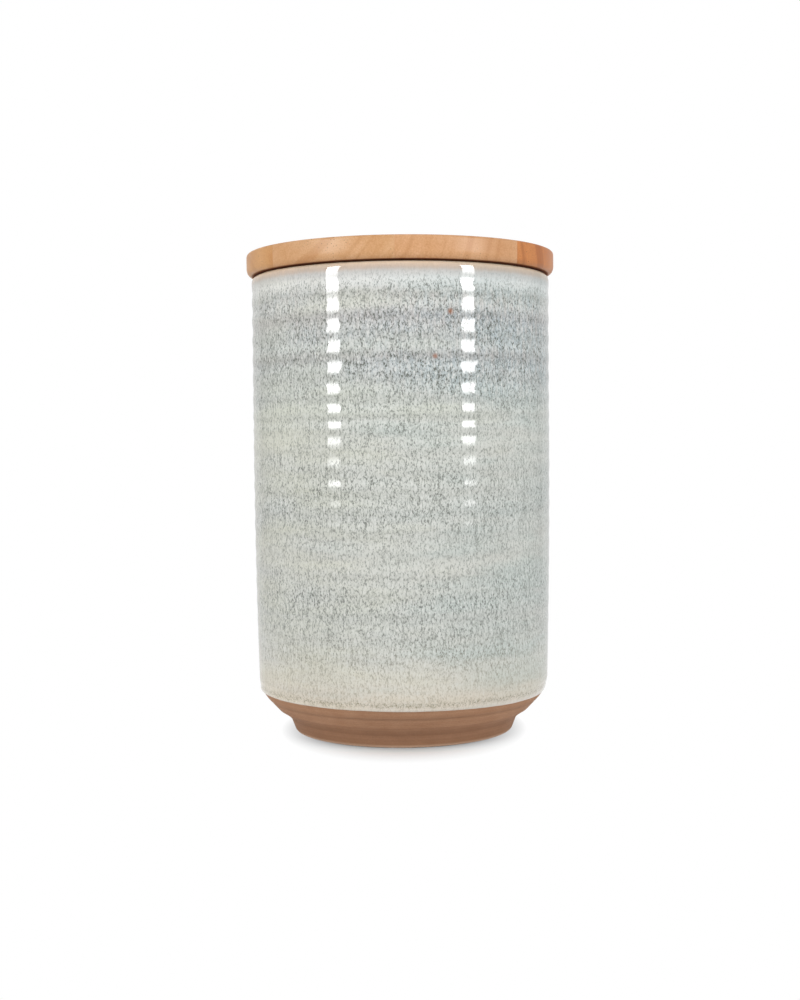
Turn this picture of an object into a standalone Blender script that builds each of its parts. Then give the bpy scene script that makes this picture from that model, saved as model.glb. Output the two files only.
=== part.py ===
"""Stoneware canister with a turned wooden lid.

The jar is a thrown clay body with a trimmed foot. A speckled glaze covers the outside from
the glaze line up to the rim, and another glaze lines the inside. The lid is a disc turned
from boards glued edge to edge, with a glued plug below it that carries a silicone seal.

The origin is on the table, at the centre of the foot. Z is up, along the axis of the jar.
Sizes are in millimetres, and are turned to metres where the meshes are made.
"""

import math

import bmesh
import bpy

MM = 0.001

# Facets: sides of a turned piece, and steps along its curves and its rounded edges
SIDES = 48
CURVE_STEPS = 5
EDGE_STEPS = 2
WALL_STEPS = 4

# Clearance that keeps neighbouring pieces apart
FIT = 0.3

# Jar: the glazed surface of the straight wall, and the glazed rim above the table
BODY_RADIUS = 58.15
JAR_HEIGHT = 176.9
CLAY_WALL = 4.2
CLAY_FLOOR = 5.5
GLAZE_COAT = 0.6
RIM_EDGE = 0.8
INNER_CORNER = 20.0

# Lower wall: it leans in over this height above the shoulder, and then turns into a chamfer
TAPER_HEIGHT = 87.0
TAPER_DEPTH = 1.2
SHOULDER_ROUND = 5.0
CHAMFER_RISE = 8.0
CHAMFER_WIDTH = 7.5
GLAZE_LINE_RISE = 7.1

# Trimmed foot: the step below the chamfer, the cove under it and the foot ring
STEP_HEIGHT = 8.6
COVE_ROOT_HEIGHT = 6.1
COVE_FOOT_HEIGHT = 4.2
FOOT_SET_BACK = 6.7
FOOT_SLOPE = 0.39
FOOT_EDGE = 1.3
FOOT_RING_WIDTH = 6.0
FOOT_RECESS = 3.0

# Throwing rings in the outside of the wall: grooves that die out towards the foot
RING_PITCH = 7.35
RING_DEPTH = 0.3
FIRST_RING_BELOW_RIM = 11.9
RING_FADE = 48.0
PLAIN_BAND = 9.0

# Lid: how far the disc overhangs the wall, its thickness and its two rounded edges
LID_OVERHANG = 1.85
LID_THICKNESS = 8.6
LID_TOP_EDGE = 1.2
LID_LOWER_EDGE = 3.0

# Boards of the lid run from front to back: a strip at either end and wide boards between them
RIGHT_STRIP = 17.3
LEFT_STRIP = 13.3
WIDE_BOARD_COUNT = 2

# Plug under the lid, the groove round it, and the seal's lip
PLUG_CLEARANCE = 2.6
PLUG_DEPTH = 9.0
PLUG_EDGE = 1.0
GROOVE_DROP = 2.8
GROOVE_WIDTH = 3.0
GROOVE_DEPTH = 2.4
LIP_RISE = 1.4
LIP_THICKNESS = 0.8

# Levels of the jar
RIM_CLAY = JAR_HEIGHT - GLAZE_COAT - FIT
FLOOR_CLAY = FOOT_RECESS + CLAY_FLOOR
CHAMFER_TOP = STEP_HEIGHT + CHAMFER_RISE
SHOULDER_HEIGHT = CHAMFER_TOP + SHOULDER_ROUND
GLAZE_LINE = STEP_HEIGHT + GLAZE_LINE_RISE
RING_TOP = JAR_HEIGHT - FIRST_RING_BELOW_RIM
RING_BOTTOM = SHOULDER_HEIGHT + PLAIN_BAND

# Radii of the jar
COAT_INSET = GLAZE_COAT + RING_DEPTH
CLAY_RADIUS = BODY_RADIUS - COAT_INSET - FIT
CLAY_BORE = CLAY_RADIUS - CLAY_WALL
LINER_BORE = CLAY_BORE - FIT - GLAZE_COAT
RIM_MIDDLE = (BODY_RADIUS + LINER_BORE) / 2
SHOULDER_RADIUS = BODY_RADIUS - TAPER_DEPTH
STEP_RADIUS = SHOULDER_RADIUS - CHAMFER_WIDTH
FOOT_RADIUS = STEP_RADIUS - FOOT_SET_BACK
FOOT_INNER_RADIUS = FOOT_RADIUS - FOOT_RING_WIDTH

# Places of the lid, measured from its seat just above the rim
LID_SEAT = JAR_HEIGHT + FIT
LID_RADIUS = BODY_RADIUS + LID_OVERHANG
PLUG_RADIUS = LINER_BORE - PLUG_CLEARANCE
PLUG_FOOT = -FIT - PLUG_DEPTH
GROOVE_TOP = -FIT - GROOVE_DROP
GROOVE_FOOT = GROOVE_TOP - GROOVE_WIDTH
GROOVE_RADIUS = PLUG_RADIUS - GROOVE_DEPTH
SEAL_RADIUS = LINER_BORE - FIT

# Finishes: linear red, green and blue, roughness, metallic
FINISHES = {
    "bare_stoneware": ((0.31, 0.17, 0.10), 0.75, 0.0),
    "speckled_glaze": ((0.55, 0.58, 0.54), 0.15, 0.0),
    "cream_glaze": ((0.76, 0.70, 0.58), 0.18, 0.0),
    "pale_oiled_wood": ((0.67, 0.38, 0.18), 0.40, 0.0),
    "red_oiled_wood": ((0.58, 0.26, 0.11), 0.40, 0.0),
    "pale_silicone": ((0.68, 0.67, 0.63), 0.35, 0.0),
}

SHARP_ANGLE = math.radians(40)


def clear_scene():
    for thing in list(bpy.data.objects):
        bpy.data.objects.remove(thing, do_unlink=True)


def make_collection(name):
    collection = bpy.data.collections.new(name)
    bpy.context.scene.collection.children.link(collection)
    return collection


def make_finish(name, finish):
    """A material of the piece's own, with the colour and gloss of its finish."""
    colour, roughness, metallic = FINISHES[finish]
    material = bpy.data.materials.new(name)
    material.use_nodes = True
    shader = material.node_tree.nodes["Principled BSDF"]
    shader.inputs["Base Color"].default_value = (*colour, 1.0)
    shader.inputs["Roughness"].default_value = roughness
    shader.inputs["Metallic"].default_value = metallic
    return material


def blend(a, b, share):
    """The point that lies the given share of the way from a to b."""
    return tuple(p + (q - p) * share for p, q in zip(a, b))


def bend(start, corner, end, steps):
    """A curve that leaves start towards the corner and arrives at end from the corner."""
    shares = [step / steps for step in range(steps + 1)]
    return [blend(blend(start, corner, t), blend(corner, end, t), t) for t in shares]


def rounded(before, corner, after, size):
    """The corner between two straight runs, rounded off the given size along both."""
    start = blend(corner, before, size / math.dist(corner, before))
    end = blend(corner, after, size / math.dist(corner, after))
    return bend(start, corner, end, EDGE_STEPS)


def inset(line, depth):
    """The line moved square to itself, into the wall of a piece whose outer side it runs down."""
    moved = []
    for i, (radius, height) in enumerate(line):
        ahead = line[min(i + 1, len(line) - 1)]
        behind = line[max(i - 1, 0)]
        run, fall = ahead[0] - behind[0], ahead[1] - behind[1]
        length = math.hypot(run, fall)
        moved.append((radius + depth * fall / length, height - depth * run / length))
    return moved


def split(line, height):
    """The falling line cut at a height: the part above and the part below, each with the cut."""
    above = [point for point in line if point[1] > height]
    below = line[len(above):]
    upper, lower = above[-1], below[0]
    cut = blend(upper, lower, (upper[1] - height) / (upper[1] - lower[1]))
    return above + [cut], [cut] + below


def spaced(top, bottom, steps):
    return [top + (bottom - top) * step / steps for step in range(steps + 1)]


def wall_radius(height):
    """Radius of the glazed wall at the crests of its rings."""
    share = (SHOULDER_HEIGHT + TAPER_HEIGHT - height) / TAPER_HEIGHT
    return BODY_RADIUS - TAPER_DEPTH * max(0.0, share) ** 2


def lower_wall():
    """The surface from the shoulder, round to the chamfer and down it to the step's edge."""
    start = (SHOULDER_RADIUS, SHOULDER_HEIGHT)
    corner = (SHOULDER_RADIUS, CHAMFER_TOP)
    step = (STEP_RADIUS, STEP_HEIGHT)
    return bend(start, corner, blend(corner, step, 0.5), CURVE_STEPS) + [step]


def ringed_wall():
    """The glazed wall from under the rim to the shoulder: each ring is a groove and a crest
    with a flat top, and the wall is plain below the last one."""
    third = RING_PITCH / 3
    heights = [RING_TOP + third]
    depths = [0.0]
    for ring in range(int((RING_TOP - RING_BOTTOM) / RING_PITCH)):
        groove = RING_TOP - ring * RING_PITCH
        strength = min(1.0, (groove - RING_BOTTOM) / RING_FADE)
        heights += [groove, groove - third, groove - 2 * third]
        depths += [RING_DEPTH * strength, 0.0, 0.0]
    return [(wall_radius(h) - depth, h) for h, depth in zip(heights, depths)]


def plain_wall(depth):
    """The wall without its rings, from under the rim to the shoulder, set in by the depth."""
    top = JAR_HEIGHT - COAT_INSET - FIT - 2 * RIM_EDGE
    heights = spaced(top, SHOULDER_HEIGHT, WALL_STEPS)[:-1]
    return [(wall_radius(h) - depth, h) for h in heights]


def outer_rim(radius, height):
    """The rim's outer edge, from the flat top to the wall."""
    return rounded((RIM_MIDDLE, height), (radius, height), (radius, height - 2 * RIM_EDGE), RIM_EDGE)


def inner_side(depth):
    """The inside of the jar, from the rim down the wall to the middle of the floor, set in
    from the clay by the depth. The bore narrows a little on its way down."""
    bore = CLAY_BORE - depth
    rim = RIM_CLAY + depth
    floor = FLOOR_CLAY + depth
    foot_of_wall = (bore - TAPER_DEPTH, floor + INNER_CORNER)
    line = rounded((RIM_MIDDLE, rim), (bore, rim), (bore, rim - 2 * RIM_EDGE), RIM_EDGE)
    corner = (bore - TAPER_DEPTH, floor)
    start_of_floor = (bore - TAPER_DEPTH - INNER_CORNER, floor)
    return line + bend(foot_of_wall, corner, start_of_floor, CURVE_STEPS) + [(0.0, floor)]


def foot_line():
    """From the cove under the step round the foot ring to the middle of the recess."""
    def side(height):
        return FOOT_RADIUS + FOOT_SLOPE * height, height
    step = (STEP_RADIUS, STEP_HEIGHT)
    cove = bend(step, side(COVE_ROOT_HEIGHT), side(COVE_FOOT_HEIGHT), CURVE_STEPS)[1:]
    inner = (FOOT_INNER_RADIUS, 0.0)
    recess = (FOOT_INNER_RADIUS, FOOT_RECESS)
    outer_edge = rounded(side(COVE_FOOT_HEIGHT), side(0.0), inner, FOOT_EDGE)
    inner_edge = rounded(side(0.0), inner, recess, FOOT_EDGE)
    return cove + outer_edge + inner_edge + [recess, (0.0, FOOT_RECESS)]


def spin(name, profile, collection, parent=None, ring=False):
    """A solid of revolution. The profile runs down its outer side; a ring's profile is closed,
    and any other starts and ends on the axis."""
    mesh = bpy.data.meshes.new(name)
    count = len(profile)
    last = count if ring else count - 1
    edges = [(i, (i + 1) % count) for i in range(last)]
    mesh.from_pydata([(radius * MM, 0.0, height * MM) for radius, height in profile], edges, [])
    thing = bpy.data.objects.new(name, mesh)
    thing.parent = parent
    collection.objects.link(thing)
    screw = thing.modifiers.new("spin", 'SCREW')
    screw.axis = 'Z'
    screw.angle = math.tau
    screw.steps = SIDES
    screw.render_steps = SIDES
    screw.use_merge_vertices = True
    screw.merge_threshold = 0.00001
    return thing


def bake(thing, finish):
    """Turn the modifiers into a mesh, smooth where it is round and sharp at its edges."""
    bpy.context.view_layer.update()
    depsgraph = bpy.context.evaluated_depsgraph_get()
    mesh = bpy.data.meshes.new_from_object(thing.evaluated_get(depsgraph), depsgraph=depsgraph)
    thing.modifiers.clear()
    thing.data = mesh
    mesh.name = thing.name
    mesh.shade_smooth()
    mesh.set_sharp_from_angle(angle=SHARP_ANGLE)
    mesh.materials.clear()
    mesh.materials.append(make_finish(thing.name, finish))


def make_clay(collection):
    """The thrown jar. Under the outer coat the clay is set back, so that the coat's lower end
    lies nearly flush with the bare chamfer."""
    depth = COAT_INSET + FIT
    covered, bare = split(lower_wall(), GLAZE_LINE - FIT)
    outside = outer_rim(CLAY_RADIUS, RIM_CLAY) + plain_wall(depth) + inset(covered, depth) + bare
    inside = inner_side(0.0)
    body = spin("stoneware_body", inside[::-1] + outside + foot_line(), collection)
    bake(body, "bare_stoneware")


def make_outer_glaze(collection):
    """The coat on the outside, from the middle of the rim to the glaze line."""
    covered, _ = split(lower_wall(), GLAZE_LINE)
    edge_of_rim = RIM_MIDDLE + FIT / 2
    surface = [(edge_of_rim, JAR_HEIGHT)] + outer_rim(BODY_RADIUS, JAR_HEIGHT)
    surface += ringed_wall() + covered
    back = [(edge_of_rim, JAR_HEIGHT - GLAZE_COAT)]
    back += outer_rim(BODY_RADIUS - COAT_INSET, JAR_HEIGHT - GLAZE_COAT)
    back += plain_wall(COAT_INSET) + inset(covered, COAT_INSET)
    coat = spin("outer_glaze", surface + back[::-1], collection, ring=True)
    bake(coat, "speckled_glaze")


def make_liner_glaze(collection):
    """The coat on the inside, from the middle of the rim down over the floor."""
    edge_of_rim = RIM_MIDDLE - FIT / 2
    surface = [(edge_of_rim, JAR_HEIGHT)] + inner_side(FIT + GLAZE_COAT)
    back = [(edge_of_rim, JAR_HEIGHT - GLAZE_COAT)] + inner_side(FIT)
    liner = spin("liner_glaze", surface[::-1] + back, collection)
    bake(liner, "cream_glaze")


def lid_disc():
    """Profile of the lid's disc, from the middle of its top round its edge to below."""
    top = (0.0, LID_THICKNESS)
    bottom = (0.0, 0.0)
    upper = (LID_RADIUS, LID_THICKNESS)
    lower = (LID_RADIUS, 0.0)
    upper_edge = rounded(top, upper, lower, LID_TOP_EDGE)
    lower_edge = rounded(upper, lower, bottom, LID_LOWER_EDGE)
    return [top] + upper_edge + lower_edge + [bottom]


def board_space(left, right, collection, parent):
    """A box round one board: what of the disc lies in it is the board."""
    low = (left, -2 * LID_RADIUS, -LID_THICKNESS)
    high = (right, 2 * LID_RADIUS, 2 * LID_THICKNESS)
    mesh = bpy.data.meshes.new("board_space")
    work = bmesh.new()
    bmesh.ops.create_cube(work, size=1.0)
    for vertex in work.verts:
        vertex.co = [MM * (a + (b - a) * (c + 0.5)) for a, b, c in zip(low, high, vertex.co)]
    work.to_mesh(mesh)
    work.free()
    box = bpy.data.objects.new("board_space", mesh)
    box.parent = parent
    box.display_type = 'WIRE'
    box.hide_render = True
    collection.objects.link(box)
    return box


def make_boards(collection, cutters, seat):
    """The disc of the lid, as boards glued edge to edge. The strip at the right is redder, and
    the wide boards share what the strips leave."""
    joints = spaced(LID_RADIUS - RIGHT_STRIP, LEFT_STRIP - LID_RADIUS, WIDE_BOARD_COUNT)
    outside = 2 * LID_RADIUS
    ends = [outside] + joints + [-outside]
    for number, (right, left) in enumerate(zip(ends, ends[1:]), start=1):
        board = spin(f"lid_board_{number}", lid_disc(), collection, parent=seat)
        cut = board.modifiers.new("cut from panel", 'BOOLEAN')
        cut.operation = 'INTERSECT'
        cut.object = board_space(left + FIT / 2, right - FIT / 2, cutters, seat)
        bake(board, "red_oiled_wood" if number == 1 else "pale_oiled_wood")


def make_plug(collection, seat):
    """The step under the lid, with the groove for the seal turned in its side."""
    foot = (PLUG_RADIUS, PLUG_FOOT)
    middle = (0.0, PLUG_FOOT)
    profile = [(0.0, -FIT), (PLUG_RADIUS, -FIT)]
    profile += [(PLUG_RADIUS, GROOVE_TOP), (GROOVE_RADIUS, GROOVE_TOP)]
    profile += [(GROOVE_RADIUS, GROOVE_FOOT), (PLUG_RADIUS, GROOVE_FOOT)]
    profile += rounded((PLUG_RADIUS, GROOVE_FOOT), foot, middle, PLUG_EDGE) + [middle]
    plug = spin("lid_plug", profile, collection, parent=seat)
    bake(plug, "pale_oiled_wood")


def make_seal(collection, seat):
    """The silicone ring: its root fills the groove, and its lip rises towards the bore."""
    root = GROOVE_RADIUS + FIT
    top, foot = GROOVE_TOP - FIT, GROOVE_FOOT + FIT
    tip = (SEAL_RADIUS, (top + foot) / 2 + LIP_RISE)
    upper = bend((PLUG_RADIUS, top), (PLUG_RADIUS + FIT, top), tip, EDGE_STEPS)
    blunt = [(tip[0], tip[1] - LIP_THICKNESS)]
    lower = bend(blunt[0], (PLUG_RADIUS + FIT, foot), (PLUG_RADIUS, foot), EDGE_STEPS)[1:]
    profile = [(root, top)] + upper + blunt + lower + [(root, foot)]
    seal = spin("lid_seal", profile, collection, parent=seat, ring=True)
    bake(seal, "pale_silicone")


def main():
    clear_scene()
    parts = make_collection("stoneware_canister")
    cutters = make_collection("cutters")
    make_clay(parts)
    make_outer_glaze(parts)
    make_liner_glaze(parts)
    seat = bpy.data.objects.new("lid_seat", None)
    seat.location = (0.0, 0.0, LID_SEAT * MM)
    parts.objects.link(seat)
    make_boards(parts, cutters, seat)
    make_plug(parts, seat)
    make_seal(parts, seat)
    bpy.context.view_layer.update()


main()
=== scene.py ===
# %% [markdown]
# # A stoneware canister with a turned wooden lid
#
# This lesson dresses a canister that was built as CAD solids: a thrown clay jar, a speckled
# glaze outside and a cream one inside, and a lid turned from boards, with a plug and a seal
# below it. The solids fix every size and place. What is made here is what the eye sees: fine
# meshes in the same places, and the finish of every surface.

# %% Load the solids
import math

import bmesh
import bpy
from mathutils import Matrix, Vector


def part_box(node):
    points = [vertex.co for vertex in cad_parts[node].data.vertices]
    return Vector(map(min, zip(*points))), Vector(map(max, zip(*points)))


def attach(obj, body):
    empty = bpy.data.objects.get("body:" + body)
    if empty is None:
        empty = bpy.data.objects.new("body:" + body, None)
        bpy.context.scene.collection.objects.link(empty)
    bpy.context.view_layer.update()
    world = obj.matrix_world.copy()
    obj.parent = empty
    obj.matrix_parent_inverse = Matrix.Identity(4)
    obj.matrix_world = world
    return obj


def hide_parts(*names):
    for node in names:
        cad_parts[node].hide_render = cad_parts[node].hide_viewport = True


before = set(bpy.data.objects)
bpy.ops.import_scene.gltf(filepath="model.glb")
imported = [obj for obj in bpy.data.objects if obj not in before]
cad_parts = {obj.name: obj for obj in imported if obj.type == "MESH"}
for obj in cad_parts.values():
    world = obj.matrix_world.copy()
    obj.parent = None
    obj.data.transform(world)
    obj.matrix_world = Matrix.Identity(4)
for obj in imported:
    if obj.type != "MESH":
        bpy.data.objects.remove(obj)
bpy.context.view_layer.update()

MM = 0.001
print("nodes:", sorted(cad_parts))

# %% [markdown]
# ## Sizes
#
# A size that shows in the box round a solid is read from that box, so that it can't drift away
# from the CAD. The others are repeated here as real sizes in millimetres. Radii are measured
# from the jar's axis, and heights from the table.

# %% Sizes read from the solids
coat_low, coat_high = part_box("outer_glaze")
_, clay_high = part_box("stoneware_body")
plug_low, plug_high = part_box("lid_plug")
_, seal_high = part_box("lid_seal")
board_low, board_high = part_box("lid_board_2")

BODY_RADIUS = coat_high.x / MM
JAR_HEIGHT = coat_high.z / MM
GLAZE_LINE = coat_low.z / MM
CLAY_RADIUS = clay_high.x / MM
RIM_CLAY = clay_high.z / MM
PLUG_RADIUS = plug_high.x / MM
PLUG_TOP = plug_high.z / MM
PLUG_FOOT = plug_low.z / MM
SEAL_RADIUS = seal_high.x / MM
SEAL_TIP = seal_high.z / MM
LID_RADIUS = board_high.y / MM
LID_SEAT = board_low.z / MM
LID_TOP = board_high.z / MM
print(f"jar {2 * BODY_RADIUS:.1f} x {JAR_HEIGHT:.1f} mm, lid {2 * LID_RADIUS:.1f} mm")

# %% Sizes of the jar
TAPER_HEIGHT = 87.0
TAPER_DEPTH = 1.2
CHAMFER_TOP = 16.6
SHOULDER_HEIGHT = 21.6
SHOULDER_RADIUS = BODY_RADIUS - TAPER_DEPTH
STEP = (49.45, 8.6)
COVE_ROOT_HEIGHT = 6.1
COVE_FOOT_HEIGHT = 4.2
FOOT_RADIUS = 42.75
FOOT_SLOPE = 0.39
FOOT_EDGE = 0.8
FOOT_INNER_RADIUS = 36.75
FOOT_RECESS = 3.0
RIM_EDGE = 0.8
RIM_MIDDLE = 55.0
RIM_GLAZE = 0.6
RIM_GAP = 0.05
COAT_BACK = 0.9
CLAY_BACK = 1.2
CLAY_BORE = 52.75
CLAY_FLOOR = 8.5
INNER_CORNER = 20.0
LINER_THICKNESS = 0.9
LINER_BACK = 0.3

# %% [markdown]
# ## Outlines
#
# Every piece but the boards is round, so a potter or a turner would think of its outline: the
# line that a template follows while the piece spins. An outline here is a list of points
# (radius, height). Straight runs need only their ends, and a round corner is a quadratic
# curve, as in the CAD, only with more steps. A long run that will be displaced later is cut
# into short steps first, because displacement can only move points that exist.

# %% Helpers for outlines
CORNER_STEPS = 8


def blend(a, b, share):
    """The point that lies the given share of the way from a to b."""
    return tuple(p + (q - p) * share for p, q in zip(a, b))


def bend(start, corner, end, steps=CORNER_STEPS):
    """A curve that leaves start towards the corner and arrives at end from the corner."""
    shares = [step / steps for step in range(steps + 1)]
    return [blend(blend(start, corner, t), blend(corner, end, t), t) for t in shares]


def rounded(before, corner, after, size):
    """The corner between two straight runs, rounded off the given size along both."""
    start = blend(corner, before, size / math.dist(corner, before))
    end = blend(corner, after, size / math.dist(corner, after))
    return bend(start, corner, end)


def stepped(start, end, step):
    """The points after start on the way to end, no further apart than the step."""
    count = max(1, math.ceil(math.dist(start, end) / step))
    return [blend(start, end, (i + 1) / count) for i in range(count)]


def set_in(line, first, last):
    """The line moved into its piece, by one depth at its start and another at its end."""
    moved = []
    for i, (radius, height) in enumerate(line):
        ahead = line[min(i + 1, len(line) - 1)]
        behind = line[max(i - 1, 0)]
        run, fall = ahead[0] - behind[0], ahead[1] - behind[1]
        depth = (first + (last - first) * i / (len(line) - 1)) / math.hypot(run, fall)
        moved.append((radius + depth * fall, height - depth * run))
    return moved


# %% [markdown]
# ## One function for a node
#
# Both kinds of node tree in this lesson, shaders and geometry, are built by the same small
# function. It adds a node, applies its settings, and then fills its inputs. Plain values go
# into the inputs in their own order, counting only those that the settings leave in use, and
# the rest are filled by name. A number or a colour is written into the socket, and a node or a
# socket is linked to it. A node that is linked stands for its first output in use. The word
# "ShaderNode", with which most kinds begin, is left out, and an operation follows after a dot.
#
# So a "MapRange" reads: the value, the two ends it comes from, and the two ends it goes to. A
# "Mix" reads: the share, the tone below, and the tone that is laid over it.

# %% Add a node
def linear(code):
    """An sRGB hex colour, as the linear colour that a shader wants."""
    parts = [int(code[i:i + 2], 16) / 255 for i in (0, 2, 4)]
    return [p / 12.92 if p <= 0.04045 else ((p + 0.055) / 1.055) ** 2.4 for p in parts] + [1.0]


def fill(ramp, stops):
    """Fills a colour ramp from stops in rising order: a place, and a hex colour or a number."""
    while len(ramp.elements) < len(stops):
        ramp.elements.new(1.0)
    for i, (place, colour) in enumerate(stops):
        ramp.elements[i].position = place
        plain = isinstance(colour, float)
        ramp.elements[i].color = [colour] * 3 + [1.0] if plain else linear(colour)


def feed(node, inputs):
    """Writes values into a node's inputs, and links nodes and sockets to them."""
    for key, value in inputs.items():
        socket = node.inputs[key]
        if isinstance(value, bpy.types.Node):
            value = next(output for output in value.outputs if output.enabled)
        if isinstance(value, bpy.types.NodeSocket):
            node.id_data.links.new(value, socket)
        elif isinstance(value, str) and socket.type == "RGBA":
            socket.default_value = linear(value)
        else:
            socket.default_value = value


def add(tree, kind, *values, named=None, stops=None, **settings):
    """Adds one node, with its settings, its plain inputs in order and its named inputs."""
    kind, _, operation = kind.partition(".")
    node = tree.nodes.new(kind if "Node" in kind else "ShaderNode" + kind)
    if operation:
        node.operation = operation
    for name, value in settings.items():
        setattr(node, name, value)
    if stops:
        fill(node.color_ramp, stops)
    in_use = [i for i, socket in enumerate(node.inputs) if socket.enabled]
    feed(node, dict(zip(in_use, values)))
    feed(node, named or {})
    return node


# %% [markdown]
# Some small groups of nodes come back in several surfaces. Fibres in wood, runs in a glaze and
# lines round a wall are all a texture that is drawn out or pressed flat along one axis. Much
# of a round piece depends on how far a point is from an axis. And the white ground, like the
# floor, has to know whether a ray sees it straight, in a mirror or through something clear.

# %% Groups of nodes that come back
WHITE = (1.0, 1.0, 1.0, 1.0)


def metres(sizes):
    """Sizes in millimetres, as metres."""
    return [size * MM for size in sizes]


def drawn_out(tree, place, size, *values, kind="TexNoise", axis=2, **settings):
    """A texture with a grain of the first size, and of the second size along one axis."""
    scale = [1.0, 1.0, 1.0]
    scale[axis] = size[0] / size[1]
    long = add(tree, "Mapping", named={"Vector": place, "Scale": scale})
    return add(tree, kind, long, 1 / (size[0] * MM), *values, **settings)


def reach(tree, place, weights=(1.0, 1.0, 0.0)):
    """How far a place is from the middle, with each coordinate weighed. 0 leaves one out."""
    weighed = add(tree, "VectorMath.MULTIPLY", place, weights)
    return add(tree, "VectorMath.LENGTH", weighed)


def seen(tree):
    """1 for the rays that see a thing straight, in a mirror or through something clear."""
    path = add(tree, "LightPath").outputs
    either = add(tree, "Math.MAXIMUM", path["Is Camera Ray"], path["Is Glossy Ray"])
    return add(tree, "Math.MAXIMUM", either, path["Is Transmission Ray"])


def surface_of(name):
    """A new material, with its tree, its Principled shader and its Object coordinates."""
    material = bpy.data.materials.new(name)
    material.use_nodes = True
    tree = material.node_tree
    place = add(tree, "TexCoord").outputs["Object"]
    return material, tree, tree.nodes["Principled BSDF"], place


def put(name, data):
    """A new object with this data, in the scene."""
    thing = bpy.data.objects.new(name, data)
    bpy.context.scene.collection.objects.link(thing)
    return thing


# %% [markdown]
# ## The wheel
#
# A thrown jar is made by a rule: an outline spins round, and the potter's fingers leave a
# groove at each step of their way up. A rule like that suits Geometry Nodes. The tree lays out
# a flat grid with a row for each point of the outline and a column for each step round, and
# moves every grid point to its radius, angle and height. Along the way it presses the throwing
# rings into the wall. Two attributes on the outline say where: "rings" is 1 where they are
# full and 0 where there are none, and "run" is 1 at the lower edge of the glaze, which crept
# unevenly when it melted. Real rings aren't ruled lines, so a slow noise shifts each groove
# and changes its depth, and the grooves crowd together where the hand climbed more slowly.
# Each point also keeps the slope of its ring, as an attribute that the glaze reads later.
#
# The same tree turns the pieces that have no rings, because a missing attribute reads as 0.

# %% Throwing rings and the glaze's run, in millimetres
FIRST_RING_BELOW_RIM = 13.2
WHEEL_SIZES = {
    "Ring top": JAR_HEIGHT - FIRST_RING_BELOW_RIM,
    "Ring pitch": 7.5,
    "Ring depth": 0.24,
    "Ring drift": 0.9,
    "Crowding start": 36.0,
    "Crowding end": 52.0,
    "Crowding": 3.6,
    "Run tilt": 0.6,
    "Run wave": 0.5,
}
RUN_SLOPE = 0.94
MERGE_WITHIN = 0.001
SIDES = 256
SEED = 3.0

# Grain in millimetres, and detail, of the drift, the pressure and the ripple of the edge
HAND_NOISES = [(45.0, 1.0), (16.0, 1.0), (9.0, 2.0)]


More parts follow.
